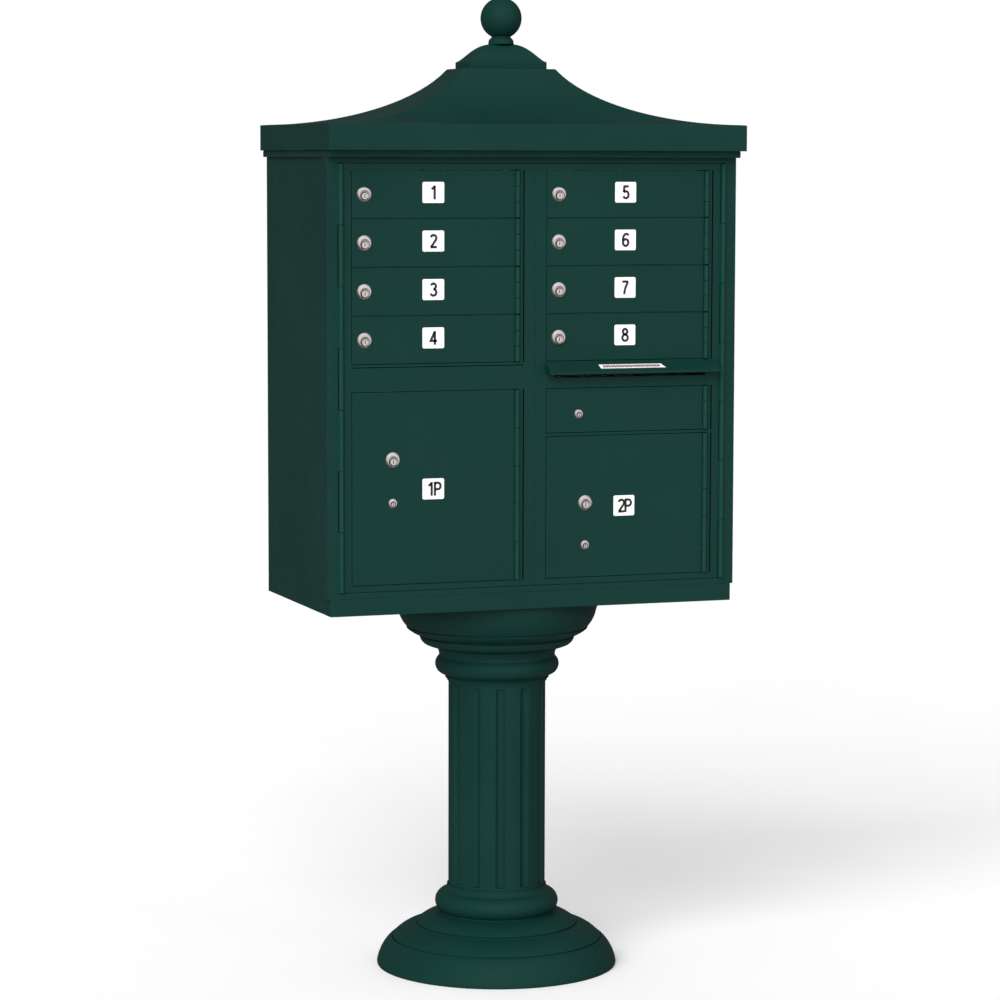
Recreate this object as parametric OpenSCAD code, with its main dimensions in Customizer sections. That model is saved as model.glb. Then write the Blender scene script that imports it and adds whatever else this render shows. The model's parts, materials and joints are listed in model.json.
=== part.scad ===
// Cluster mailbox unit on a decorative pedestal.
// Eight letter doors, two parcel lockers and an outgoing mail door sit in two master
// doors that swing open for the carrier. The origin is on the floor, on the pedestal's
// axis, with the doors facing -Y.

/* [Cabinet] */
// Width across the front frame
cab_w = 775; // [770:1:800]
// Depth from the door faces to the back panel
cab_d = 400; // [390:1:430]
// Height of the cabinet's underside above the floor
stand_h = 690; // [690:1:760]
// Height of the base tray under the front frame
tray_h = 31; // [25:1:40]
// Thickness of the sheet used for panels, shelves and door pans
sheet = 2.5; // [2:0.1:3]
// Width of the front frame's jambs
jamb_w = 20; // [18:1:24]
// How far the side panels stand inside the front frame
side_inset = 5; // [4:0.5:8]

/* [Door grid] */
// Height of one letter door with its gap
letter_pitch = 85.25; // [84:0.25:90]
// Height of the left parcel locker's opening
parcel_1_h = 343; // [340:1:350]
// Height of the right parcel locker's opening
parcel_2_h = 257; // [250:1:260]
// Height of the outgoing mail door's opening
outgoing_h = 81; // [78:1:84]
// Height of the blank band between the parcel lockers and the letter doors
band_h = 48; // [46:1:52]
// Width of a master door's outer stile
stile_out = 14; // [13:1:18]
// Distance from the middle of the cabinet to the door openings
stile_in = 20.75; // [20:0.25:24]
// Gap that the master hinge barrels sit in
barrel_gap = 10.5; // [10:0.5:12]
// Depth of a master door from face to flange edge
master_t = 20; // [18:1:22]
// Gap around each small door
gap = 1; // [0.8:0.1:1.5]

/* [Hinges and locks] */
// Radius of the master hinge barrels
master_knuckle_r = 4.7; // [4.4:0.1:4.8]
// Radius of the small door hinge barrels
knuckle_r = 4.5; // [4:0.1:4.6]
// Distance from an opening's right edge to its hinge pin
hinge_inset = 13.5; // [12:0.5:15]
// Distance from a letter door's left edge to its lock
letter_lock_x = 23; // [22:0.5:26]
// Distance from a parcel door's left edge to its locks
parcel_lock_x = 75; // [70:1:80]
// Distance from the outgoing door's left edge to its lock
outgoing_lock_x = 62; // [58:1:70]

/* [Roof] */
// Height of the roof's vertical fascia
fascia_h = 47; // [40:1:55]
// Rise of the concave slope from the fascia to the cap
slope_h = 101; // [90:1:115]
// Radius of the ball finial
ball_r = 37.5; // [34:0.5:40]

/* [Pedestal] */
// Radius of the fluted shaft
shaft_r = 90; // [88:0.5:95]
// Number of flutes around the shaft
flutes = 12; // [8:2:16]
// Distance between the anchor bolt holes
anchor_pitch = 228; // [200:1:235]

/* [Hidden] */
$fn = 64;

// Cabinet planes
front = -cab_d/2;
rear = cab_d/2;
face_y = front + 3;
flange_y = front + master_t;
frame_z0 = stand_h + tray_h;
sill_h = 10.5;
grid_z0 = frame_z0 + 22;
letters_z0 = grid_z0 + parcel_1_h + band_h;
grid_z1 = letters_z0 + 4*letter_pitch;
frame_z1 = grid_z1 + 22;
frame_depth = 24;
panel_x = cab_w/2 - side_inset;
panel_y0 = front + frame_depth;

// Master doors
master_x = cab_w/2 - jamb_w - barrel_gap;
barrel_x = master_x + barrel_gap/2;
hinge_y = front - 1;
master_z0 = frame_z0 + sill_h + 0.8;
master_z1 = frame_z1 - 10 - 0.8;
seam = 0.75;
master_pin_r = 2.5;
pin_r = 2;
running = 0.05;
master_knuckles = 7;
wall = 3;

// Openings of the door grid, by column: 0 is the left one, 1 the right one
open_w = master_x - stile_out - stile_in;
outgoing_z0 = letters_z0 - band_h - outgoing_h;
function col_x0(c) = c == 0 ? -stile_in - open_w : stile_in;
function col_x1(c) = col_x0(c) + open_w;
function pin_x(c) = col_x1(c) - hinge_inset;
function clear_x1(c) = pin_x(c) + knuckle_r + 0.4;
function letter_col(i) = i > 4 ? 1 : 0;
function letter_z0(i) = letters_z0 + (3 - (i - 1)%4)*letter_pitch;
band_z0 = letters_z0 - band_h;

// Each small door is [column, bottom, top, number of hinge knuckles]
function letter_cell(i) = [letter_col(i), letter_z0(i), letter_z0(i) + letter_pitch, 3];
parcel_cells = [[0, grid_z0, grid_z0 + parcel_1_h, 5], [1, grid_z0, grid_z0 + parcel_2_h, 5]];
outgoing_cell = [1, outgoing_z0, outgoing_z0 + outgoing_h, 3];

// Locks are [x, z, size]: size 0 is a large lock, size 1 a small one
bezel_r = [14, 8.7];
body_r = [10.2, 6.6];
plug_r = [6, 3.4];
plug_drop = [3.2, 1.6];
cam_len = [31, 20];
cam_hw = [7, 5];
cam_y = flange_y + 3;
cam_t = 2.5;
function edge_x(cell) = col_x0(cell[0]) + gap;
function letter_lock(i) = [
    edge_x(letter_cell(i)) + letter_lock_x, letter_z0(i) + letter_pitch/2, 0];
customer_z = [222, 135];
carrier_z = [145, 58.5];
function parcel_locks(p) = [
    for (lock = [[customer_z[p], 0], [carrier_z[p], 1]])
        [edge_x(parcel_cells[p]) + parcel_lock_x, grid_z0 + lock[0], lock[1]]];
outgoing_lock = [edge_x(outgoing_cell) + outgoing_lock_x, outgoing_z0 + 34, 1];

// Master latch and its keepers, on the meeting line of the two master doors
latch_z = band_z0 + band_h/2;
latch_r = 17.5;
latch_stud_r = 4;
mullion_y = flange_y + 0.8;
latch_y = mullion_y + wall + 0.5;
latch_t = 4;

// Outgoing mail slot and hood
slot_x = [stile_in + 15, stile_in + 308];
slot_z = [band_z0 + 18.5, band_z0 + 44];
hood_x = [20, col_x1(1) + 7];
hood_out = 25;
hood_lip_h = 4;
hood_z = [band_z0 + 25.5, band_z0 + 25.5 + hood_lip_h, letters_z0 - 1];
hood_t = 2;

// Compartment racks
rack_y = [front + 35, rear - 10];

// Roof
lip_z1 = frame_z1 + 12;
fascia_z1 = lip_z1 + fascia_h;
ledge_z = fascia_z1 + slope_h;
cap_rim = 13;
ogee_h = 32;
cap_z1 = ledge_z + cap_rim + ogee_h;
roof_hem = 24;
roof_y = -15;
roof_half = [cab_w/2 + 6, 220];
ledge_half = [88, 49];
cap_half = [74, 41];
cap_top_half = [20, 11];
roof_t = 3;
roof_screws = [[-1, -100], [-1, 70], [1, -100], [1, 70]];
roof_screw_x = cab_w/2 - 9;
ball_z = cap_z1 + 47;
neck_r = 17.4;
collar_r = 23.5;

// Pedestal
shaft_z = [151, stand_h - 157];
cover_t = [6.5, 4]; // radial and vertical thickness of the cast covers
cover_bore_r = 80;
post_w = 101.6;
plate_w = 280;
top_plate_w = 250;
plate_t = 9.5;
anchor_r = 8.75;
gusset = [6, 44, 60]; // thickness, reach along the plate, height up the post
tube_wall = 6.35;
top_pitch = 200;
top_bolt_r = 6;

paint = "#1c3d36";
bare = "#b9bcbd";
bright = "#d9d3d2";
steel = "#8b8f91";

// ---- Helpers -------------------------------------------------------------------------

// A box between two corners
module span(x, y, z)
    translate([x[0], y[0], z[0]]) cube([x[1] - x[0], y[1] - y[0], z[1] - z[0]]);

// A rod along Y
module rod_y(x, z, y0, y1, r)
    translate([x, y0, z]) rotate([-90, 0, 0]) cylinder(r = r, h = y1 - y0);

// A rod along Z
module rod_z(x, y, z0, z1, r)
    translate([x, y, z0]) cylinder(r = r, h = z1 - z0);

// A rectangular ring in the XZ plane: the outer box less the inner one
module ring(x_out, z_out, x_in, z_in, y)
    difference() {
        span(x_out, y, z_out);
        span(x_in, [y[0] - 1, y[1] + 1], z_in);
    }

// One hinge knuckle with the strip that joins it to its leaf. The leaf is on side -1 or 1.
module knuckle(x, z, r, bore, side, reach) {
    difference() {
        rod_z(x, hinge_y, z[0], z[1], r);
        rod_z(x, hinge_y, z[0] - 1, z[1] + 1, bore);
    }
    near = x + side*(bore + 0.45);
    far = x + side*reach;
    span([min(near, far), max(near, far)], [front, front + 2.5], z);
}

// Knuckle k of n between two heights
function knuckle_z(k, n, z0, z1) = [
    z0 + k*(z1 - z0)/n + 0.3, z0 + (k + 1)*(z1 - z0)/n - 0.3];

// Points on a bulging arc from a to b: sag is how far it stands out to the right of a-b
function arc(a, b, sag, n = 8) =
    let (
        d = b - a,
        len = norm(d),
        out = [d[1], -d[0]]/len,
        r = (len*len/4 + sag*sag)/(2*abs(sag)),
        half = asin(len/2/r),
        mid = (a + b)/2 + out*(sag - sign(sag)*r))
    [for (k = [0:n])
        let (t = -half + 2*half*k/n)
        mid + sign(sag)*r*cos(t)*out + r*sin(t)*d/len];

// ---- Pedestal ------------------------------------------------------------------------

module plate(w, z0, chamfer)
    translate([0, 0, z0])
        linear_extrude(plate_t)
            intersection() {
                square(w, center = true);
                rotate(45) square(w*sqrt(2) - 2*chamfer, center = true);
            }

module four(pitch)
    for (x = [-1, 1], y = [-1, 1])
        translate([x*pitch/2, y*pitch/2, 0]) children();

module gussets()
    for (a = [0:90:270])
        rotate(a)
            translate([0, gusset[0]/2, plate_t])
                rotate([90, 0, 0])
                    linear_extrude(gusset[0])
                        polygon([[post_w/2 - 1, -1], [post_w/2 + gusset[1], -1],
                                 [post_w/2 + gusset[1], 6], [post_w/2 + 4, gusset[2]],
                                 [post_w/2 - 1, gusset[2]]]);

module pedestal_post() {
    color(steel) difference() {
        union() {
            plate(plate_w, 0, 20);
            plate(top_plate_w, stand_h - plate_t, 12);
            translate([-post_w/2, -post_w/2, 0]) cube([post_w, post_w, stand_h - 1]);
            gussets();
        }
        translate([-post_w/2 + tube_wall, -post_w/2 + tube_wall, -1])
            cube([post_w - 2*tube_wall, post_w - 2*tube_wall, stand_h + 2]);
        four(anchor_pitch) rod_z(0, 0, -1, plate_t + 1, anchor_r);
        four(top_pitch) rod_z(0, 0, stand_h - plate_t - 1, stand_h + 1, top_bolt_r + 0.5);
    }
}

module pedestal_bolts() {
    floor_z = stand_h + wall;
    color(steel) four(top_pitch) {
        rod_z(0, 0, stand_h - plate_t - 14, floor_z + 1, top_bolt_r);
        translate([0, 0, floor_z]) cylinder(r = 11, h = 8, $fn = 6);
        translate([0, 0, stand_h - plate_t - 10]) cylinder(r = 11, h = 10, $fn = 6);
    }
}

// The small groove that parts two mouldings
function groove(r, z) = [[r, z], [r - 3, z - 2], [r - 3, z + 1]];

// Stepped foot: three rounded tiers and a torus up to the shaft
base_outline = concat(
    [[222.4, 0]], arc([223.2, 4], [199.5, 48.5], 4.2, 12), groove(196.5, 50.5),
    arc([194, 52.5], [153, 75.5], 3.7), groove(151, 77),
    arc([149, 79], [112, 97.2], 3.2), [[107.5, 98.5], [105.5, 99], [105.5, 100.8]],
    arc([106.8, 101.5], [97.3, 139.5], 12.3, 14),
    arc([95.5, 141.5], [shaft_r + 2.5, 148.5], -0.8, 4),
    [[shaft_r + 2.5, shaft_z[0]]]);

// Stepped head: a fillet, a torus, a waist and three rounded tiers up to the cabinet
function capital_outline() = [for (p = concat(
    [[shaft_r + 2.5, -157], [shaft_r + 3.5, -152], [96, -150], [95.5, -148.3], [98.5, -145.8]],
    arc([100.7, -144.3], [108, -111.4], 10.2, 14),
    arc([107.6, -110], [111.5, -97], -1.4, 6), [[111.5, -95], [121.6, -92.3]],
    arc([130, -89.6], [143.5, -75], 2.8), [[141, -73.8], [141, -72]],
    arc([147, -70.5], [167.5, -58.5], 1.2, 6), [[165.5, -56.6], [165.5, -55.2]],
    arc([168.8, -54.6], [184.5, -21], 2.7, 10),
    [[186, -19], [186, 0]])) [p[0], p[1] + stand_h]];

module cover_base() color(paint) difference() {
    rotate_extrude($fn = 128) polygon(concat([[0, 0]], base_outline, [[0, shaft_z[0]]]));
    translate([0, 0, -cover_t[1]])
        rotate_extrude($fn = 128)
            polygon(concat([[0, 0]],
                [for (p = base_outline) [max(p[0] - cover_t[0], cover_bore_r), p[1]]],
                [[0, shaft_z[0]]]));
    rod_z(0, 0, -1, shaft_z[1], cover_bore_r);
}

module cover_capital() color(paint) difference() {
    rotate_extrude($fn = 128)
        polygon(concat([[0, shaft_z[1]]], capital_outline(), [[0, stand_h]]));
    translate([0, 0, cover_t[1]])
        rotate_extrude($fn = 128)
            polygon(concat([[0, shaft_z[1]]],
                [for (p = capital_outline()) [max(p[0] - cover_t[0], cover_bore_r), p[1]]],
                [[0, stand_h]]));
    rod_z(0, 0, shaft_z[1] - 1, stand_h + 1, cover_bore_r);
}

module cover_shaft() {
    flute_r = 11;
    flute_axis = shaft_r + 5.6;
    flute_z = [shaft_z[0] + 5, shaft_z[1] - 5];
    color(paint) difference() {
        rod_z(0, 0, shaft_z[0], shaft_z[1], shaft_r);
        rod_z(0, 0, shaft_z[0] - 1, shaft_z[1] + 1, cover_bore_r);
        for (k = [0:flutes - 1])
            rotate((k + 0.5)*360/flutes)
                rod_z(0, -flute_axis, flute_z[0], flute_z[1], flute_r);
    }
}

// ---- Cabinet -------------------------------------------------------------------------

module base_tray() {
    color(paint) difference() {
        span([-panel_x, panel_x], [front, rear], [stand_h, frame_z0]);
        span([-panel_x + wall, panel_x - wall], [front + wall, rear - wall],
             [stand_h + wall, frame_z0 + 1]);
        four(top_pitch) rod_z(0, 0, stand_h - 1, stand_h + wall + 1, top_bolt_r + 0.5);
    }
}

// A side panel with a return that meets the front frame
module side_panel(side) color(paint) mirror([side > 0 ? 1 : 0, 0, 0]) {
    span([-panel_x, -panel_x + sheet], [panel_y0, rear], [frame_z0, frame_z1]);
    span([-panel_x, -panel_x + 18], [panel_y0, panel_y0 + sheet], [frame_z0, frame_z1]);
}

module back_panel() color(paint)
    span([-panel_x + sheet, panel_x - sheet], [rear - sheet, rear], [frame_z0, frame_z1]);

// Front frame: jambs, sill and header of folded channel, a centre mullion behind the
// meeting line of the doors, the latch stud, and the fixed hinge knuckles
module front_frame() {
    x = cab_w/2;
    inner_x = x - jamb_w;
    inner_z = [frame_z0 + sill_h, frame_z1 - 10];
    color(paint) {
        difference() {
            ring([-x, x], [frame_z0, frame_z1], [-inner_x, inner_x], inner_z, [front, panel_y0]);
            ring([-x + wall, x - wall], [frame_z0 + wall, frame_z1 - wall],
                 [-inner_x - wall, inner_x + wall], [inner_z[0] - wall, inner_z[1] + wall],
                 [face_y, panel_y0 + 1]);
        }
        span([-7, 7], [mullion_y, mullion_y + wall], [inner_z[0] - 1, inner_z[1] + 1]);
        rod_y(0, latch_z, mullion_y, latch_y + latch_t + 0.5, latch_stud_r);
        rod_y(0, latch_z, latch_y + latch_t + 0.3, latch_y + latch_t + 2, latch_stud_r + 2);
        for (side = [-1, 1], k = [0:2:master_knuckles - 1])
            knuckle(side*barrel_x, knuckle_z(k, master_knuckles, master_z0, master_z1),
                    master_knuckle_r, master_pin_r + running, side, barrel_gap/2 + 1);
    }
}

module cabinet_top() {
    x = cab_w/2 + 1;
    y = [front - 17, rear + 2];
    color(paint) difference() {
        span([-x, x], y, [frame_z1, lip_z1]);
        span([-x + wall, x - wall], [y[0] + wall, y[1] - wall], [frame_z1 + wall, lip_z1 - wall]);
        span([-x + roof_hem, x - roof_hem], [y[0] + roof_hem, y[1] - roof_hem],
             [lip_z1 - wall - 1, lip_z1 + 1]);
        for (s = roof_screws) rod_z(s[0]*roof_screw_x, s[1], lip_z1 - 5, lip_z1 + 1, 3.3);
    }
}

// A rack of compartments: two walls that stand on the base tray, a back, and shelves
module rack(c, shelves) {
    x = [col_x0(c) - sheet, col_x1(c) + sheet];
    shelf_span = [shelves[0] - sheet, shelves[len(shelves) - 1] + sheet];
    color(bare) {
        for (wall_x = [x[0], x[1] - sheet])
            span([wall_x, wall_x + sheet], rack_y, [stand_h + wall, frame_z1]);
        span(x, [rack_y[1] - sheet, rack_y[1]], shelf_span);
        for (z = shelves)
            span([x[0] + 1, x[1] - 1], rack_y, [z - sheet/2, z + sheet/2]);
    }
}

letter_shelves = [for (k = [0:4]) letters_z0 + k*letter_pitch];
module rack_left() rack(0, concat([grid_z0, grid_z0 + parcel_1_h], letter_shelves));
module rack_right() rack(1, concat([grid_z0, outgoing_z0 - 2.5], letter_shelves));

// ---- Roof ----------------------------------------------------------------------------

// Height above the eave of the concave slope, at a fraction s of the way in to the ledge
function slope(s) = 1.607*(1 - sqrt(1 - pow(s/1.08, 2)));
function slope_side(out, in, n = 28) = [for (k = [0:n])
    [out + (in - out)*k/n, fascia_z1 + slope_h*slope(k/n)]];

// A symmetric outline: the right half's points, then the same points mirrored, in reverse
function both_halves(half) = concat(half,
    [for (k = [len(half) - 1:-1:0]) [-half[k][0], half[k][1]]]);

// One of the two profiles whose crossing makes the hipped roof
module roof_profile(out, in, drop)
    polygon(both_halves(concat([[out, lip_z1 - drop]], slope_side(out, in))));

// Two profiles crossed at right angles: the first runs along Y, the second along X
module crossed(half_len) intersection() {
    translate([0, half_len, 0]) rotate([90, 0, 0]) linear_extrude(2*half_len) children(0);
    translate([-half_len, 0, 0]) rotate([90, 0, 90]) linear_extrude(2*half_len) children(1);
}

module roof_body(inset, drop)
    translate([0, roof_y, 0])
        crossed(500) {
            roof_profile(roof_half[0] - inset, ledge_half[0] - inset/2, drop);
            roof_profile(roof_half[1] - inset, ledge_half[1] - inset/2, drop);
        }

module roof_canopy() {
    hx = roof_half[0] - roof_hem;
    hy = roof_half[1] - roof_hem;
    color(paint) difference() {
        roof_body(0, 0);
        difference() {
            translate([0, 0, -roof_t]) roof_body(roof_t, 5);
            span([-500, 500], [-500, 500], [lip_z1 - 10, lip_z1 + roof_t]);
        }
        span([-hx, hx], [roof_y - hy, roof_y + hy], [lip_z1 - 1, lip_z1 + roof_t + 1]);
        rod_z(0, roof_y, ledge_z - 10, ledge_z + 1, 6);
        for (s = roof_screws) rod_z(s[0]*roof_screw_x, s[1], lip_z1 - 1, lip_z1 + 5, 3.3);
    }
}

// Cap: a flat rim, then an ogee that ends in a small flat under the finial
function ogee_side(rim, top, n = 20) = [for (k = [0:n])
    let (t = k/n, u = (1 - cos(180*t))/2)
    [rim + (top - rim)*(0.55*t + 0.45*t*t), ledge_z + cap_rim + ogee_h*(0.25*t + 0.75*u)]];

module cap_profile(rim, top)
    polygon(both_halves(concat([[rim, ledge_z]], ogee_side(rim, top))));

module roof_cap() color(paint) difference() {
    translate([0, roof_y, 0])
        crossed(200) {
            cap_profile(cap_half[0], cap_top_half[0]);
            cap_profile(cap_half[1], cap_top_half[1]);
        }
    translate([0, roof_y, ledge_z - 1])
        linear_extrude(cap_rim)
            square([2*cap_half[0] - 8, 2*cap_half[1] - 8], center = true);
    rod_z(0, roof_y, ledge_z, cap_z1 + 1, 6);
}

// Ball on a turned neck, with the stud that clamps the cap to the roof
module finial() {
    neck_z = cap_z1 + 12;
    ball_a = 90 - asin(neck_r/ball_r);
    color(paint) translate([0, roof_y, 0]) {
        rotate_extrude($fn = 96) polygon(concat(
            [[0, cap_z1], [collar_r, cap_z1], [collar_r, cap_z1 + 1.5]],
            arc([collar_r - 0.5, cap_z1 + 2], [neck_r, neck_z], 1.8),
            [for (k = [0:32])
                let (a = -ball_a + (90 + ball_a)*k/32)
                [ball_r*cos(a), ball_z + ball_r*sin(a)]]));
        rod_z(0, 0, ledge_z - 18, cap_z1 + 1, 5);
    }
}

module roof_fasteners() color(steel) {
    difference() {
        union() {
            translate([0, roof_y, ledge_z - 12]) cylinder(r = 9.2, h = 7.5, $fn = 6);
            rod_z(0, roof_y, ledge_z - 4.5, ledge_z - roof_t, 12);
        }
        rod_z(0, roof_y, ledge_z - 13, ledge_z, 5.05);
    }
    for (s = roof_screws) {
        rod_z(s[0]*roof_screw_x, s[1], lip_z1 - wall - 5, lip_z1 + roof_t + 1, 3);
        rod_z(s[0]*roof_screw_x, s[1], lip_z1 + roof_t, lip_z1 + roof_t + 3, 5.5);
        translate([s[0]*roof_screw_x, s[1], lip_z1 - wall - 5]) cylinder(r = 5.8, h = 5, $fn = 6);
    }
}

// ---- Master doors --------------------------------------------------------------------

module master_hinge_pins() color(steel)
    for (side = [-1, 1])
        rod_z(side*barrel_x, hinge_y, master_z0 + 0.5, master_z1 - 0.5, master_pin_r);

// Folded flange around an opening, which stiffens the door and takes the lock cams
module opening_flange(c, z)
    ring([col_x0(c) - wall, clear_x1(c) + wall], [z[0] - wall, z[1] + wall],
         [col_x0(c), clear_x1(c)], z, [face_y - 0.5, flange_y]);

// Strike tab that a parcel or outgoing lock's cam turns behind
module strike(c, lock) {
    z = lock[1] - plug_drop[lock[2]];
    reach = lock[0] - cam_len[lock[2]] + 8;
    half = cam_hw[lock[2]] + 6;
    span([col_x0(c) - 1, reach], [flange_y - wall, flange_y], [z - half, z + half]);
}

// Keeper hook that the master latch turns in front of
module keeper(side) {
    leg = latch_r + 0.7;
    head_y = latch_y + latch_t + 1.8;
    mirror([side < 0 ? 1 : 0, 0, 0]) {
        span([seam + 1, stile_in], [face_y - 0.5, flange_y], [latch_z - 10, latch_z + 10]);
        span([leg, stile_in], [flange_y - 1, head_y + wall], [latch_z - 10, latch_z + 10]);
        span([11, stile_in], [head_y, head_y + wall], [latch_z - 10, latch_z + 10]);
    }
}

// Fixed knuckles of one small door, on the leaf strip at the right of its opening
module fixed_knuckles(cell)
    for (k = [0:2:cell[3] - 1])
        knuckle(pin_x(cell[0]), knuckle_z(k, cell[3], cell[1] + gap, cell[2] - gap),
                knuckle_r, pin_r + running, 1, knuckle_r + 1.4);

// Seam of a small door's fixed hinge leaf, scored in the master door's face
module leaf_seam(cell)
    span([col_x1(cell[0]) - 1.4, col_x1(cell[0])], [front - 1, front + 1.2], [cell[1], cell[2]]);

module master_door(side, cells, openings) {
    c = side < 0 ? 0 : 1;
    x = side < 0 ? [-master_x, -seam] : [seam, master_x];
    z = [master_z0, master_z1];
    difference() {
        union() {
            span(x, [front, face_y], z);
            ring(x, z, [x[0] + wall, x[1] - wall], [z[0] + wall, z[1] - wall],
                 [front, flange_y]);
            for (opening = openings) opening_flange(c, opening);
        }
        for (opening = openings)
            span([col_x0(c), clear_x1(c)], [front - 1, flange_y + 1], opening);
        for (cell = cells) leaf_seam(cell);
    }
    for (k = [1:3])
        span([col_x0(c) - 1, clear_x1(c) + 1], [flange_y - 9, flange_y - 1],
             [letters_z0 + k*letter_pitch - 4, letters_z0 + k*letter_pitch + 4]);
    for (cell = cells) fixed_knuckles(cell);
    for (k = [1:2:master_knuckles - 1])
        knuckle(side*barrel_x, knuckle_z(k, master_knuckles, master_z0, master_z1),
                master_knuckle_r, master_pin_r + running, -side, barrel_gap/2 + 1);
    keeper(side);
}

letter_rows = [letters_z0, grid_z1];

module master_door_left() color(paint) {
    difference() {
        master_door(-1, concat([parcel_cells[0]], [for (i = [1:4]) letter_cell(i)]),
                    [[parcel_cells[0][1], parcel_cells[0][2]], letter_rows]);
        span([col_x0(0), col_x1(0)], [front - 1, front + 1], [letters_z0 - 6, letters_z0 - 4.6]);
    }
    for (lock = parcel_locks(0)) strike(0, lock);
}

module master_door_right() color(paint) {
    master_door(1, concat([parcel_cells[1], outgoing_cell], [for (i = [5:8]) letter_cell(i)]),
                [[parcel_cells[1][1], parcel_cells[1][2]], [outgoing_cell[1], grid_z1]]);
    for (lock = parcel_locks(1)) strike(1, lock);
    strike(1, outgoing_lock);
}

// Slotted channel welded across the right master door, between the outgoing door and letter 8
module outgoing_band() color(paint) difference() {
    x = [col_x0(1), clear_x1(1)];
    union() {
        span(x, [front, face_y], [band_z0, letters_z0]);
        span(x, [front, flange_y], [band_z0, band_z0 + wall]);
        span(x, [front, flange_y], [letters_z0 - wall, letters_z0]);
    }
    span(slot_x, [front - 1, face_y + 1], slot_z);
}

// The hood's section, extruded along X: inset pulls the front in, drop lowers the slope
module hood_section(x, inset, drop)
    translate([x[0], 0, 0])
        rotate([90, 0, 90])
            linear_extrude(x[1] - x[0])
                polygon([[front + inset, hood_z[0] - inset], [front + inset, hood_z[2] - drop],
                         [front - hood_out + inset, hood_z[1] - drop/2],
                         [front - hood_out + inset, hood_z[0] - inset]]);

module outgoing_hood() color(paint) difference() {
    hood_section(hood_x, 0, 0);
    hood_section([hood_x[0] + hood_t, hood_x[1] - hood_t], hood_t, 1.2*hood_t);
}

// Butterfly latch on the mullion: upright it clears the keepers, turned it holds both doors
module master_latch() {
    y = [latch_y, latch_y + latch_t];
    color(steel) difference() {
        union() {
            span([-5, 5], y, [latch_z - latch_r + 4, latch_z + latch_r - 4]);
            for (s = [-1, 1])
                rod_y(0, latch_z + s*(latch_r - 5), y[0], y[1], 5);
            rod_y(0, latch_z, y[0], y[1], 8);
        }
        rod_y(0, latch_z, y[0] - 1, y[1] + 1, latch_stud_r + running);
    }
}

// ---- Small doors ---------------------------------------------------------------------

// A door pan with folded edges, its lock holes, and its moving hinge knuckles
module small_door(cell, locks) {
    x = [edge_x(cell), pin_x(cell[0]) - knuckle_r - 0.4];
    z = [cell[1] + gap, cell[2] - gap];
    color(paint) {
        difference() {
            span(x, [front, front + 9], z);
            span([x[0] + sheet, x[1] - sheet], [front + sheet, front + 10],
                 [z[0] + sheet, z[1] - sheet]);
            for (lock = locks)
                rod_y(lock[0], lock[1], front - 1, front + 4, body_r[lock[2]] + 0.2);
        }
        for (k = [1:2:cell[3] - 1])
            knuckle(pin_x(cell[0]), knuckle_z(k, cell[3], z[0], z[1]),
                    knuckle_r, pin_r + running, -1, knuckle_r + 1.4);
    }
}

// The lock's shell: a bevelled bezel, the threaded body and its nut, bored for the plug.
// The plug sits below the middle, as the pin tumblers take up the top of the body.
module lock_shell(lock) {
    s = lock[2];
    bevel = s == 0 ? 1.6 : 1.1;
    color(bright) difference() {
        union() {
            rod_y(lock[0], lock[1], front - bevel, front, bezel_r[s]);
            translate([lock[0], front - bevel, lock[1]])
                rotate([90, 0, 0])
                    cylinder(r1 = bezel_r[s], r2 = bezel_r[s] - bevel, h = bevel);
            rod_y(lock[0], lock[1], front - 0.5, flange_y + 2, body_r[s]);
            translate([lock[0], front + sheet, lock[1]])
                rotate([-90, 0, 0])
                    cylinder(r = body_r[s] + 3.8, h = 5, $fn = 6);
        }
        rod_y(lock[0], lock[1] - plug_drop[s], front - 5, flange_y + 3, plug_r[s] + running);
    }
}

// The turning plug with its keyway, and the cam screwed to its end, upright when unlocked
module lock_cam(lock) {
    s = lock[2];
    x = lock[0];
    z = lock[1] - plug_drop[s];
    y = [cam_y, cam_y + cam_t];
    key = plug_r[s]*0.6;
    tip = cam_len[s] - cam_hw[s];
    face = front - (s == 0 ? 3.6 : 2.5);
    color(bright) difference() {
        rod_y(x, z, face, cam_y + 0.5, plug_r[s]);
        span([x - 0.7, x + 0.7], [face - 1, face + 6], [z - key, z + key]);
    }
    color(steel) {
        span([x - cam_hw[s], x + cam_hw[s]], y, [z, z + tip]);
        for (end = [0, tip]) rod_y(x, z + end, y[0], y[1], cam_hw[s]);
        rod_y(x, z, y[1] - 0.5, y[1] + 2, cam_hw[s]*0.6);
    }
}

// Hinge pins of the small doors in one column
module hinge_pins(cells) color(steel)
    for (cell = cells)
        rod_z(pin_x(cell[0]), hinge_y, cell[1] + gap + 0.5, cell[2] - gap - 0.5, pin_r);

module hinge_pins_left() hinge_pins(concat([parcel_cells[0]], [for (i = [1:4]) letter_cell(i)]));
module hinge_pins_right()
    hinge_pins(concat([parcel_cells[1], outgoing_cell], [for (i = [5:8]) letter_cell(i)]));

// ---- The part ------------------------------------------------------------------------

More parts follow.
